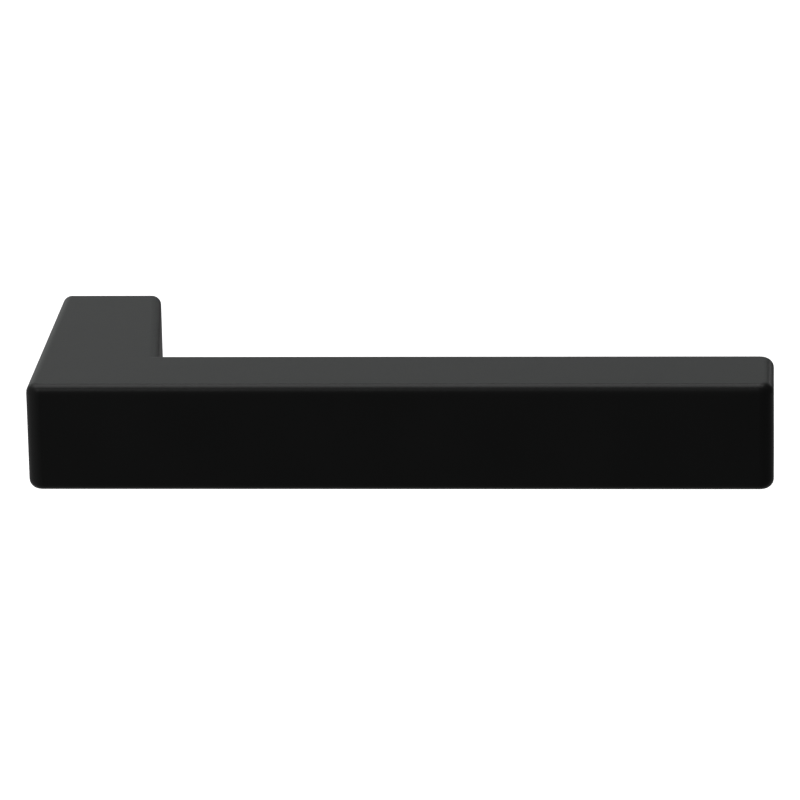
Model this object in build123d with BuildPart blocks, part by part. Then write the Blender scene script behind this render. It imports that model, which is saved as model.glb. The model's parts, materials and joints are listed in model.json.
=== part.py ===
from build123d import *
import os

os.makedirs("parts", exist_ok=True)

# A door lever handle without a rose. The lever turns on a sprung bearing cartridge inside its own
# neck, and the cartridge's threaded stud is screwed into the door.
#
# Millimetres. The origin is on the neck's axis at the door face: +Y points into the door, +X along
# the grip and +Z up. A "depth" is measured from the door face towards the grip, along -Y.
# Plane.XZ faces -Y, so a sketch at a depth is extruded towards the grip.

# Lever, outside
section = 20.0  # height of the lever, and thickness of the grip
grip_length = 135.5
neck_length = 40.2  # rear end of the neck to the rear face of the grip
neck_end_width = 18.6
neck_root_width = 22.6  # the casting's draft widens the neck towards the grip
left_draft = 0.34  # how far the left side leans out from the neck's end to the grip's front
door_gap = 1.8  # door face to the rear end of the neck
grip_corner_radius = 2.6  # the grip's upright edges
neck_corner_radius = 1.6  # the upright edges at the neck's end
edge_radius = 1.8  # all edges round the top and bottom faces

grip_back = door_gap + neck_length
grip_front = grip_back + section
grip_left = -neck_end_width / 2 - left_draft
grip_right = grip_left + grip_length
neck_root_right = grip_left + neck_root_width

# Spindle, 8 mm square
spindle_width = 8.0
spindle_chamfer = 0.7
spindle_front = 57.5  # depth of its inner end
spindle_out = 15.0  # how far it stands out behind the door face
spindle_end_chamfer = 0.5
socket_width = 8.1
socket_depth = 59.0

# Bearing sleeve, fixed to the door
sleeve_bore = 5.4  # radius: the spindle's corners turn inside it
journal_radius = 6.4
sleeve_depth = 26.0
flange_radius = 9.0
flange_thickness = 1.5
stud_radius = 7.0  # M14x1 thread
stud_length = 7.5
stud_chamfer = 0.6
spanner_slot_width = 3.0
spanner_slot_bottom = 8.0  # radius
groove_radius = 6.0
groove_width = 1.1

# Turning stop: two lugs on the flange run in two notches in the barrel's rear rim
travel = 45.0  # degrees
lug_angle = 24.0
lug_depth = 4.2
lug_radius = 8.0
stop_clearance = 1.0  # degrees left at each end of the travel
lug_places = (0.0, 180.0)  # degrees round the neck's axis

# Cartridge barrel, fixed in the neck
neck_bore = 8.1
barrel_radius = 8.08
barrel_bore = 7.4
barrel_start = 1.7
barrel_end = 43.2
notch_depth = 4.5
neck_bore_depth = 43.5
mouth_chamfer = 0.2
mouth_angle = 45.0  # degrees

# Bearing bushes, pressed into the barrel
bush_outer = 7.38
bush_inner = 6.45
bush_length = 6.0
bush_chamfer = 0.3
rear_bush_start = 4.6
front_bush_start = 13.0
front_bush_end = front_bush_start + bush_length

# Washers and retaining ring in front of the front bush
washer_thickness = 0.5
washer_inner = 6.5
washer_outer = 7.27
bow_height = 0.9  # spring washer, over its bow
bow_thickness = 0.35
ring_thickness = 1.0
ring_inner = 6.03
ring_outer = 7.1
ring_gap = 50.0  # degrees
face_gap = 0.02  # between pieces that only touch

# Return spring: a torsion spring between the sleeve and the driver
wire_radius = 0.9
spring_radius = 6.35  # middle of the wire
spring_turns = 6
spring_pitch = 1.88
spring_start = 27.2  # depth of the first turn's wire centre
spring_leg_angle = 90.0  # both legs are at the top
leg_radius = 0.89
leg_slot_width = 2.0
leg_slot_depth = 3.0
slot_overcut = 2.0  # how far a slot's cut runs outwards, to past the rim
rear_leg_end = 23.4  # depth
front_leg_end = 42.6
leg_overrun = 0.8  # each leg reaches across the wire of its end turn

# Spring driver, a square-holed disc in the front of the barrel
driver_radius = 7.36
driver_start = 39.6
driver_thickness = 3.4

# Set screws on the lever's underside, each with its inner end at a height on Z
barrel_screw_depth = 41.3  # M3x3
barrel_screw_radius = 1.5
barrel_screw_top = -6.45
barrel_screw_length = 3.0
barrel_screw_key = 1.5  # across the flats of its hexagon socket
barrel_screw_chamfer = 0.25
spindle_screw_depth = 48.2  # M5x5
spindle_screw_radius = 2.5
spindle_screw_top = -4.2
spindle_screw_length = 5.0
spindle_screw_key = 2.5
spindle_screw_chamfer = 0.35
key_depth_share = 0.55  # of the screw's length
screw_clearance = 0.02
screw_pit = 0.05  # left in front of the barrel screw's inner end


def save(part, label):
    part.label = label
    export_step(part, f"parts/{label}.step")


def at_depth(depth):
    """The upright plane at a depth, facing the grip."""
    return Plane.XZ.offset(depth)


def ring_sector(inner, outer, start, span):
    """A sector of a ring in the current sketch, by its radii and its angles."""
    with BuildLine() as outline:
        first = PolarLine((0, 0), inner, start, mode=Mode.PRIVATE)
        last = PolarLine((0, 0), inner, start + span, mode=Mode.PRIVATE)
        PolarLine(first @ 1, outer - inner, start)
        PolarLine(last @ 1, outer - inner, start + span)
        CenterArc((0, 0), inner, start, span)
        CenterArc((0, 0), outer, start, span)
    make_face(outline.edges())


def tube(inner, outer, start, end):
    """A plain tube round the neck's axis between two depths, in the current part."""
    with BuildSketch(at_depth(start)) as ring:
        Circle(outer)
        Circle(inner, mode=Mode.SUBTRACT)
    extrude(ring.sketch, amount=end - start)


def screw_hole(depth, radius, top):
    """A set screw's hole from the underside up to a height, cut in the current part."""
    with BuildSketch(Plane.XY.offset(-section / 2)) as hole:
        with Locations((0, -depth)):
            Circle(radius + screw_clearance)
    extrude(hole.sketch, amount=section / 2 + top, mode=Mode.SUBTRACT)


# ---- The lever -------------------------------------------------------------------------------

with BuildPart() as lever_body:
    with BuildSketch(Plane.XY.offset(-section / 2)) as lever_plan:
        with BuildLine():
            Polyline(
                (grip_left, -grip_front),
                (grip_right, -grip_front),
                (grip_right, -grip_back),
                (neck_root_right, -grip_back),
                (neck_end_width / 2, -door_gap),
                (-neck_end_width / 2, -door_gap),
                close=True,
            )
        make_face()
        fillet(lever_plan.vertices().group_by(Axis.Y)[-1], neck_corner_radius)
        grip_corners = lever_plan.vertices().group_by(Axis.Y)[0]
        grip_corners += lever_plan.vertices().group_by(Axis.X)[-1]
        fillet(set(grip_corners), grip_corner_radius)
    extrude(amount=section)
    flat_faces = lever_body.faces().filter_by(Axis.Z)
    fillet(flat_faces.edges(), edge_radius)

    # bore for the cartridge, then the square socket for the spindle
    with BuildSketch(at_depth(0)):
        Circle(neck_bore)
    extrude(amount=neck_bore_depth, mode=Mode.SUBTRACT)
    with BuildSketch(at_depth(neck_bore_depth)):
        Rectangle(socket_width, socket_width)
    extrude(amount=socket_depth - neck_bore_depth, mode=Mode.SUBTRACT)
    with BuildSketch(at_depth(door_gap)):
        Circle(neck_bore + mouth_chamfer)
    extrude(amount=mouth_chamfer, taper=mouth_angle, mode=Mode.SUBTRACT)

    # threaded holes for the two set screws
    screw_hole(barrel_screw_depth, barrel_screw_radius, -driver_radius)
    screw_hole(spindle_screw_depth, spindle_screw_radius, -spindle_width / 2)
save(lever_body.part, "lever_body")


# ---- The bearing cartridge: what turns with the lever ----------------------------------------

notch_span = lug_angle + travel + 2 * stop_clearance

with BuildPart() as cartridge_barrel:
    tube(barrel_bore, barrel_radius, barrel_start, barrel_end)
    notch_start = -lug_angle / 2 - stop_clearance
    with BuildSketch(at_depth(barrel_start)):
        for place in lug_places:
            ring_sector(journal_radius, neck_bore, place + notch_start, notch_span)
    extrude(amount=notch_depth - barrel_start, mode=Mode.SUBTRACT)
    screw_hole(barrel_screw_depth, barrel_screw_radius, 0)
save(cartridge_barrel.part, "cartridge_barrel")


def bush(start):
    """A plain bearing bush with its outer rims chamfered, in the current part."""
    tube(bush_inner, bush_outer, start, start + bush_length)
    outer_face = faces().sort_by(SortBy.AREA)[-1]
    chamfer(outer_face.edges().filter_by(GeomType.CIRCLE), bush_chamfer)


with BuildPart() as rear_bush:
    bush(rear_bush_start)
save(rear_bush.part, "rear_bush")

with BuildPart() as front_bush:
    bush(front_bush_start)
save(front_bush.part, "front_bush")

with BuildPart() as spring_driver:
    with BuildSketch(at_depth(driver_start)):
        Circle(driver_radius)
        Rectangle(socket_width, socket_width, mode=Mode.SUBTRACT)
        with PolarLocations(spring_radius, 1, start_angle=spring_leg_angle):
            Circle(leg_slot_width / 2, mode=Mode.SUBTRACT)
        slot_middle = spring_radius + slot_overcut / 2
        with PolarLocations(slot_middle, 1, start_angle=spring_leg_angle):
            Rectangle(slot_overcut, leg_slot_width, mode=Mode.SUBTRACT)
    extrude(amount=driver_thickness)
    screw_hole(barrel_screw_depth, barrel_screw_radius, barrel_screw_top + screw_pit)
save(spring_driver.part, "spring_driver")


# ---- The bearing cartridge: what is fixed to the door ----------------------------------------

sleeve_profile = [
    (sleeve_bore, stud_length),
    (stud_radius - stud_chamfer, stud_length),
    (stud_radius, stud_length - stud_chamfer),
    (stud_radius, 0),
    (flange_radius, 0),
    (flange_radius, -flange_thickness),
    (journal_radius, -flange_thickness),
    (journal_radius, -sleeve_depth),
    (sleeve_bore, -sleeve_depth),
]
bow_start = front_bush_end + washer_thickness + 2 * face_gap
ring_start = bow_start + bow_height + face_gap

with BuildPart() as bearing_sleeve:
    with BuildSketch(Plane.XY):
        with BuildLine():
            Polyline(*sleeve_profile, close=True)
        make_face()
        groove_middle = -(ring_start + ring_thickness / 2)
        with Locations((journal_radius, groove_middle)):
            Rectangle(
                2 * (journal_radius - groove_radius), groove_width, mode=Mode.SUBTRACT
            )
    revolve(axis=Axis.Y)

    # stop lugs on the flange, over the barrel's notches
    with BuildSketch(at_depth(flange_thickness)):
        for place in lug_places:
            ring_sector(groove_radius, lug_radius, place - lug_angle / 2, lug_angle)
    extrude(amount=lug_depth - flange_thickness)

    # slots for a pin spanner across the flange's rim
    with BuildSketch(at_depth(0)):
        slot_middle = spanner_slot_bottom + slot_overcut / 2
        with PolarLocations(slot_middle, 2, start_angle=90):
            Rectangle(slot_overcut, spanner_slot_width)
    extrude(amount=flange_thickness, mode=Mode.SUBTRACT)

    # slot in the front end for the spring's rear leg
    with BuildSketch(at_depth(sleeve_depth)):
        with PolarLocations(spring_radius, 1, start_angle=spring_leg_angle):
            Rectangle(2 * slot_overcut, leg_slot_width)
    extrude(amount=-leg_slot_depth, mode=Mode.SUBTRACT)
save(bearing_sleeve.part, "bearing_sleeve")

with BuildPart() as thrust_washer:
    tube(washer_inner, washer_outer, front_bush_end + face_gap, bow_start - face_gap)
save(thrust_washer.part, "thrust_washer")

with BuildPart() as spring_washer:
    tube(washer_inner, washer_outer, bow_start, bow_start + bow_height)
    bow = bow_height - bow_thickness
    front = bow_start + bow_thickness
    with BuildSketch(Plane.XY.offset(-section / 2)):
        with BuildLine():
            ThreePointArc(
                (-bush_outer, -bow_start), (0, -bow_start - bow), (bush_outer, -bow_start)
            )
            Line((bush_outer, -bow_start), (bush_outer, -front))
            ThreePointArc((bush_outer, -front), (0, -front - bow), (-bush_outer, -front))
            Line((-bush_outer, -front), (-bush_outer, -bow_start))
        make_face()
    extrude(amount=section, mode=Mode.INTERSECT)
save(spring_washer.part, "spring_washer")

with BuildPart() as snap_ring:
    with BuildSketch(at_depth(ring_start)):
        ring_sector(ring_inner, ring_outer, -90 + ring_gap / 2, 360 - ring_gap)
    extrude(amount=ring_thickness)
save(snap_ring.part, "snap_ring")


# ---- The return spring -----------------------------------------------------------------------

spring_end = spring_start + spring_turns * spring_pitch
helix = Helix(
    spring_pitch,
    spring_pitch * spring_turns,
    spring_radius,
    center=(0, -spring_start, 0),
    direction=(0, -1, 0),
    lefthand=True,
)

with BuildPart() as return_spring:
    with BuildLine() as coil:
        add(helix.rotate(Axis.Y, 180))
    with BuildSketch(Plane(origin=coil.line @ 0, z_dir=coil.line % 0)):
        Circle(wire_radius)
    sweep(path=coil.line, is_frenet=True)
    for leg_start, leg_end in (
        (rear_leg_end, spring_start + leg_overrun),
        (spring_end - leg_overrun, front_leg_end),
    ):
        with BuildSketch(at_depth(leg_start)):
            with Locations((0, spring_radius)):
                Circle(leg_radius)
        extrude(amount=leg_end - leg_start)
save(return_spring.part, "return_spring")


# ---- The set screws and the spindle ----------------------------------------------------------


def set_screw(depth, top, radius, length, key):
    """A hexagon-socket set screw pointing up, in the current part."""
    with BuildSketch(Plane.XY.offset(top - length)) as shank:
        with Locations((0, -depth)):
            Circle(radius)
    extrude(shank.sketch, amount=length)
    with BuildSketch(Plane.XY.offset(top - length)) as hexagon:
        with Locations((0, -depth)):
            RegularPolygon(key / 2, 6, major_radius=False)
    extrude(hexagon.sketch, amount=key_depth_share * length, mode=Mode.SUBTRACT)


with BuildPart() as barrel_screw:
    set_screw(
        barrel_screw_depth,
        barrel_screw_top,
        barrel_screw_radius,
        barrel_screw_length,
        barrel_screw_key,
    )
    chamfer(barrel_screw.edges().filter_by(GeomType.CIRCLE), barrel_screw_chamfer)
save(barrel_screw.part, "barrel_screw")

with BuildPart() as spindle_screw:
    set_screw(
        spindle_screw_depth,
        spindle_screw_top,
        spindle_screw_radius,
        spindle_screw_length,
        spindle_screw_key,
    )
    chamfer(spindle_screw.edges().filter_by(GeomType.CIRCLE), spindle_screw_chamfer)
save(spindle_screw.part, "spindle_screw")

with BuildPart() as spindle:
    with BuildSketch(at_depth(-spindle_out)) as spindle_section:
        Rectangle(spindle_width, spindle_width)
        chamfer(spindle_section.vertices(), spindle_chamfer)
    extrude(amount=spindle_out + spindle_front)
    chamfer(spindle.faces().filter_by(Axis.Y).edges(), spindle_end_chamfer)
save(spindle.part, "spindle")
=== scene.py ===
import json
import math

import bmesh
import bpy
from mathutils import Matrix, Vector


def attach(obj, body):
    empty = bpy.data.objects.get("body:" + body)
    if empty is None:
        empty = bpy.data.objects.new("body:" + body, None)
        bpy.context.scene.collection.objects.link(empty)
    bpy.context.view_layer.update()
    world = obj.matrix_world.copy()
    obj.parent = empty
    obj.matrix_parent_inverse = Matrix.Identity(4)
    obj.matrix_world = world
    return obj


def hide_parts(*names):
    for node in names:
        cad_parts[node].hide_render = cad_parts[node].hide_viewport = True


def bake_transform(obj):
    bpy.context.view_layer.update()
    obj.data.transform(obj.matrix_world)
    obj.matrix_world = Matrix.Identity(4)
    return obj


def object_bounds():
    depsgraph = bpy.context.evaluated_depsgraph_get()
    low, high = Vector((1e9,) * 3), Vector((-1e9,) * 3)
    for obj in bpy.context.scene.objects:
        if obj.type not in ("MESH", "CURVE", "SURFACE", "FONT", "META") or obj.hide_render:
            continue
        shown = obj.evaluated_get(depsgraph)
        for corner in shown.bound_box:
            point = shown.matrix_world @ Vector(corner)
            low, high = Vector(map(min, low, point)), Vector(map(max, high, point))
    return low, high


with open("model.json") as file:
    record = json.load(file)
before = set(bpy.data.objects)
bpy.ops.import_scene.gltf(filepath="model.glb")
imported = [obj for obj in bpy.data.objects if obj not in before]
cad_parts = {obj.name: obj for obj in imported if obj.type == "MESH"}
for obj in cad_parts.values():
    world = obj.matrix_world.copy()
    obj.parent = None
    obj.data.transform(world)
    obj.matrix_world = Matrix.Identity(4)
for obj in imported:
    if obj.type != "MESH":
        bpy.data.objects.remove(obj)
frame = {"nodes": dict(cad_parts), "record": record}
cad_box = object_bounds()
nodes = frame["nodes"]

RAMP_START = 0.3  # noise factors at the two ends of every ramp
RAMP_END = 0.7
FINE_BUMP = 0.00003  # metres


# ---- Node helpers ----------------------------------------------------------------------------


class Surface:
    """A node material with a Principled shader, and the few node chains that the finishes share."""

    def __init__(self, name):
        self.material = bpy.data.materials.new(name)
        self.material.use_nodes = True
        tree = self.material.node_tree
        self.nodes = tree.nodes
        self.links = tree.links
        self.shader = self.nodes["Principled BSDF"]
        self.place = self.nodes.new("ShaderNodeTexCoord").outputs["Object"]

    def noise(self, scale, detail, stretch=(1, 1, 1)):
        """Noise over the object's own coordinates; scale is in grains per metre."""
        mapping = self.nodes.new("ShaderNodeMapping")
        mapping.inputs["Scale"].default_value = [scale * factor for factor in stretch]
        self.links.new(self.place, mapping.inputs["Vector"])
        texture = self.nodes.new("ShaderNodeTexNoise")
        texture.inputs["Scale"].default_value = 1.0
        texture.inputs["Detail"].default_value = detail
        self.links.new(mapping.outputs["Vector"], texture.inputs["Vector"])
        return texture.outputs["Fac"]

    def ramp(self, factor, low, high, target):
        """Drives a shader input between two colours or two greys by a noise factor."""
        node = self.nodes.new("ShaderNodeValToRGB")
        for element, position, value in zip(
            node.color_ramp.elements, (RAMP_START, RAMP_END), (low, high)
        ):
            element.position = position
            colour = value if isinstance(value, tuple) else (value, value, value)
            element.color = (*colour, 1)
        self.links.new(factor, node.inputs["Fac"])
        self.links.new(node.outputs["Color"], self.shader.inputs[target])

    def bump(self, height, strength, distance, under=None):
        """A bump, in metres, over the bump under it if there is one."""
        node = self.nodes.new("ShaderNodeBump")
        node.inputs["Strength"].default_value = strength
        node.inputs["Distance"].default_value = distance
        self.links.new(height, node.inputs["Height"])
        if under is not None:
            self.links.new(under, node.inputs["Normal"])
        self.links.new(node.outputs["Normal"], self.shader.inputs["Normal"])
        return node.outputs["Normal"]


# ---- Materials -------------------------------------------------------------------------------


def powder_coat(name):
    """Matte black powder coat: fine orange peel, faint clouding of colour and of gloss."""
    coat = Surface(name)
    peel = coat.noise(1400, 2)
    grain = coat.noise(6000, 2)
    coat.ramp(coat.noise(60, 3), (0.0085, 0.0090, 0.0090), (0.0125, 0.0130, 0.0128), "Base Color")
    coat.ramp(grain, 0.34, 0.42, "Roughness")
    peel_bump = coat.bump(peel, 0.12, 0.00012)
    coat.bump(grain, 0.10, FINE_BUMP, under=peel_bump)
    coat.shader.inputs["IOR"].default_value = 1.5
    return coat.material


def turned_steel(name, low, high, smooth, rough):
    """Steel turned on a lathe about the neck's axis: fine rings along Y, and clouds of tone."""
    steel = Surface(name)
    clouds = steel.noise(220, 4)
    steel.ramp(clouds, low, high, "Base Color")
    steel.ramp(clouds, smooth, rough, "Roughness")
    steel.bump(steel.noise(2600, 1, stretch=(0.02, 1, 0.02)), 0.25, FINE_BUMP)
    steel.shader.inputs["Metallic"].default_value = 1.0
    return steel.material


def drawn_steel(name, low, high, smooth, rough):
    """Cold-drawn bar: long streaks along Y."""
    steel = Surface(name)
    streaks = steel.noise(2400, 3, stretch=(1, 0.02, 1))
    steel.ramp(steel.noise(150, 4), low, high, "Base Color")
    steel.ramp(streaks, smooth, rough, "Roughness")
    steel.bump(streaks, 0.2, FINE_BUMP)
    steel.shader.inputs["Metallic"].default_value = 1.0
    return steel.material


def grainy_metal(name, low, high, smooth, rough, grain_scale, strength):
    """Metal with an even fine grain, such as sintered, tempered or blackened steel."""
    metal = Surface(name)
    grain = metal.noise(grain_scale, 2)
    metal.ramp(metal.noise(300, 3), low, high, "Base Color")
    metal.ramp(grain, smooth, rough, "Roughness")
    metal.bump(grain, strength, 0.00004)
    metal.shader.inputs["Metallic"].default_value = 1.0
    return metal.material


def acetal(name):
    """Moulded acetal, off-white and slightly waxy."""
    plastic = Surface(name)
    grain = plastic.noise(4000, 2)
    plastic.ramp(plastic.noise(180, 3), (0.70, 0.68, 0.62), (0.78, 0.76, 0.71), "Base Color")
    plastic.ramp(grain, 0.34, 0.46, "Roughness")
    plastic.bump(grain, 0.08, FINE_BUMP)
    return plastic.material


# slot: (finish, its two colours, its two roughnesses and anything further)
finish_table = {
    "black_powder_coat": (powder_coat,),
    "zinc_plated_steel": (
        turned_steel, (0.50, 0.52, 0.55), (0.66, 0.67, 0.68), 0.26, 0.40
    ),
    "bright_steel": (drawn_steel, (0.46, 0.46, 0.46), (0.60, 0.60, 0.59), 0.28, 0.46),
    "spring_steel": (
        grainy_metal, (0.20, 0.20, 0.21), (0.32, 0.31, 0.31), 0.25, 0.40, 3000, 0.1
    ),
    "sintered_steel": (
        grainy_metal, (0.26, 0.25, 0.24), (0.36, 0.35, 0.34), 0.45, 0.65, 5000, 0.5
    ),
    "black_oxide_steel": (
        grainy_metal, (0.018, 0.018, 0.020), (0.040, 0.040, 0.045), 0.30, 0.42, 4000, 0.1
    ),
    "acetal": (acetal,),
}
finishes = {slot: finish(slot, *values) for slot, (finish, *values) in finish_table.items()}

for entry in frame["record"]["subparts"]:
    piece = nodes[entry["node"]]
    piece.data.materials.clear()
    piece.data.materials.append(finishes[entry["material_slot"]])


# ---- The door stud's thread ------------------------------------------------------------------

# Millimetres, for an M14x1 thread cut into the bearing sleeve's stud
MM = 0.001  # metres
thread_pitch = 1.0
thread_root = 6.39
thread_reach = 7.05  # the cutter's back, just outside the stud
root_flat = 0.06  # half widths of the cutter along the stud's axis
back_width = 0.46
cutter_skin = 0.001  # so that the cutter's start has some depth
thread_start = 0.9
thread_end = 8.4
run_in_turns = 0.75
steps_per_turn = 72
sharp_angle = math.radians(25)
weld_distance = 1e-4


def finished_object(mesh, name):
    """The object made from a bmesh, linked to the scene."""
    data = bpy.data.meshes.new(name)
    mesh.to_mesh(data)
    mesh.free()
    piece = bpy.data.objects.new(name, data)
    bpy.context.scene.collection.objects.link(piece)
    return piece


def cutter_section(turn):
    """The cutter's section after some turns, as (radius, place along the axis) points."""
    share = min(turn / run_in_turns, 1.0)
    root = thread_reach - (thread_reach - thread_root) * share - cutter_skin
    root_width = back_width - (back_width - root_flat) * share
    middle = thread_start + turn * thread_pitch
    return (
        (root, middle - root_width),
        (root, middle + root_width),
        (thread_reach, middle + back_width),
        (thread_reach, middle - back_width),
    )


def thread_cutter():
    """A helical ridge of about 60 degree section, which deepens over its first part turn."""
    turns = (thread_end - thread_start) / thread_pitch
    mesh = bmesh.new()
    rings = []
    for step in range(int(turns * steps_per_turn) + 1):
        turn = step / steps_per_turn
        angle = 2 * math.pi * turn
        rings.append(
            [
                mesh.verts.new((radius * math.cos(angle), y, radius * math.sin(angle)))
                for radius, y in cutter_section(turn)
            ]
        )
    for ring, following in zip(rings, rings[1:]):
        for k in range(len(ring)):
            j = (k + 1) % len(ring)
            mesh.faces.new((ring[k], ring[j], following[j], following[k]))
    mesh.faces.new(rings[0])
    mesh.faces.new(rings[-1][::-1])
    bmesh.ops.recalc_face_normals(mesh, faces=mesh.faces)
    return finished_object(mesh, "thread_cutter")


def threaded_sleeve():
    """The bearing sleeve with a true helical thread on its stud, worked at millimetre scale."""
    source = nodes["bearing_sleeve"]
    mesh = bmesh.new()
    mesh.from_mesh(source.data)
    bmesh.ops.scale(mesh, vec=(1 / MM,) * 3, verts=mesh.verts)
    bmesh.ops.remove_doubles(mesh, verts=mesh.verts, dist=weld_distance)
    piece = finished_object(mesh, "threaded_bearing_sleeve")
    cutter = thread_cutter()
    cut = piece.modifiers.new("thread", "BOOLEAN")
    cut.operation = "DIFFERENCE"
    cut.solver = "EXACT"
    cut.object = cutter
    bpy.context.view_layer.update()
    shape = bpy.data.meshes.new_from_object(
        piece.evaluated_get(bpy.context.evaluated_depsgraph_get())
    )
    piece.modifiers.clear()
    piece.data = shape
    bpy.data.objects.remove(cutter)
    shape.transform(Matrix.Diagonal((MM, MM, MM, 1)))
    shape.shade_smooth()
    shape.set_sharp_from_angle(angle=sharp_angle)
    shape.materials.clear()
    shape.materials.append(finishes["zinc_plated_steel"])
    return piece


sleeve = threaded_sleeve()
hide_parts("bearing_sleeve")
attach(sleeve, "door_bearing")


# ---- The return spring -----------------------------------------------------------------------


def twisting_spring():
    """A copy of the spring, which has one leg in the sleeve and one in the driver, with its
    placement baked into its mesh.
    """
    piece = bpy.data.objects.new("twisting_return_spring", nodes["return_spring"].data.copy())
    bpy.context.scene.collection.objects.link(piece)
    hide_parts("return_spring")
    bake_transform(piece)


twisting_spring()


# ---- Floor -----------------------------------------------------------------------------------

scene = bpy.context.scene
scene.view_settings.view_transform = "Standard"

low, high = cad_box
centre = (low + high) / 2
floor_drop = 0.12  # under the lever, clear of the grip when it is turned down
floor_half = 6.0


def pale_floor():
    """A white floor that glows, so that it stays evenly pale."""
    pale = Surface("pale_floor")
    pale.ramp(pale.noise(3, 2), 0.84, 0.88, "Base Color")
    pale.shader.inputs["Roughness"].default_value = 0.9
    pale.shader.inputs["Emission Color"].default_value = (1, 1, 1, 1)
    pale.shader.inputs["Emission Strength"].default_value = 1.0
    return pale.material


floor_corners = [
    (x * floor_half, y * floor_half, low.z - floor_drop)
    for x, y in ((-1, -1), (1, -1), (1, 1), (-1, 1))
]
floor_mesh = bpy.data.meshes.new("floor")
floor_mesh.from_pydata(floor_corners, [], [(0, 1, 2, 3)])
floor_mesh.materials.append(pale_floor())
floor = bpy.data.objects.new("floor", floor_mesh)
floor.visible_glossy = False
floor.visible_diffuse = False
floor.visible_shadow = False
scene.collection.objects.link(floor)


# ---- Light -----------------------------------------------------------------------------------

# name: (place from the lever's centre in metres, width and height in metres, watts, colour)
white = (1, 1, 1)
softboxes = {
    "overhead_light": ((-0.3, 0.6, 1.6), (1.6, 1.6), 8.4, white),
    "back_light": ((-0.6, 2.2, 0.5), (2.4, 1.2), 2.95, (0.95, 1.0, 0.98)),
    "back_right_light": ((0.9, 1.9, 0.35), (0.5, 0.4), 0.45, white),
    "low_back_light": ((-0.6, 2.0, -0.1), (0.8, 0.8), 0.35, white),
    "front_edge_light": ((-0.4, -0.7, 1.0), (0.5, 0.4), 0.75, white),
}

for light_name, (place, size, power, colour) in softboxes.items():
    data = bpy.data.lights.new(light_name, "AREA")
    data.shape = "RECTANGLE"
    data.size, data.size_y = size
    data.energy = power
    data.color = colour
    light = bpy.data.objects.new(light_name, data)
    light.location = centre + Vector(place)
    light.rotation_mode = "QUATERNION"
    light.rotation_quaternion = (-Vector(place)).to_track_quat("-Z", "Y")
    light.visible_camera = False
    scene.collection.objects.link(light)

# the dim room's glow: everywhere, more to the left, and more behind and below
room_glow = 0.07
left_glow = 0.15
back_glow = 0.5


def math_node(tree, operation, first, second, clamp=False):
    """A math node on two inputs, each a socket or a number; returns its output."""
    node = tree.nodes.new("ShaderNodeMath")
    node.operation = operation
    node.use_clamp = clamp
    for socket, value in zip(node.inputs, (first, second)):
        if isinstance(value, bpy.types.NodeSocket):
            tree.links.new(value, socket)
        else:
            socket.default_value = value
    return node.outputs["Value"]


def dim_room():
    """A dim room that looks white where the camera sees past the floor."""
    room = bpy.data.worlds.new("dim_room")
    room.use_nodes = True
    tree = room.node_tree
    direction = tree.nodes.new("ShaderNodeTexCoord").outputs["Generated"]
    split = tree.nodes.new("ShaderNodeSeparateXYZ")
    tree.links.new(direction, split.inputs["Vector"])
    x, y, z = (split.outputs[axis] for axis in "XYZ")
    to_left = math_node(tree, "MULTIPLY", x, -left_glow, clamp=True)
    behind = math_node(tree, "MAXIMUM", y, 0)
    below = math_node(tree, "MINIMUM", z, 0)
    behind_and_below = math_node(tree, "MULTIPLY", behind, below)
    to_back = math_node(tree, "MULTIPLY", behind_and_below, -back_glow, clamp=True)
    both = math_node(tree, "ADD", to_left, to_back)
    glow = math_node(tree, "ADD", both, room_glow)
    seen = tree.nodes.new("ShaderNodeLightPath").outputs["Is Camera Ray"]
    background = tree.nodes["Background"]
    background.inputs["Color"].default_value = (1, 1, 1, 1)
    tree.links.new(math_node(tree, "MAXIMUM", glow, seen), background.inputs["Strength"])
    return room


scene.world = dim_room()


# ---- Camera ----------------------------------------------------------------------------------

pitch = math.radians(17.22)  # downwards
yaw = math.radians(3.85)  # towards the left
roll = math.radians(1.17)
distance = 1.0827
aim_right = 0.06816  # the point aimed at, from the lever's left end
aim_down = 0.00258  # and from its top, on its front face
target = Vector((low.x + aim_right, low.y, high.z - aim_down))

forward = Vector(
    (-math.sin(yaw) * math.cos(pitch), math.cos(yaw) * math.cos(pitch), -math.sin(pitch))
)
level_right = Vector((math.cos(yaw), math.sin(yaw), 0))
level_up = level_right.cross(forward)
right = level_right * math.cos(roll) - level_up * math.sin(roll)
up = level_right * math.sin(roll) + level_up * math.cos(roll)

camera_data = bpy.data.cameras.new("camera")
camera_data.lens = 270
camera_data.clip_start = 0.01
camera = bpy.data.objects.new("camera", camera_data)
turn = Matrix((right, up, -forward)).transposed().to_4x4()
camera.matrix_world = Matrix.Translation(target - forward * distance) @ turn
scene.collection.objects.link(camera)
scene.camera = camera
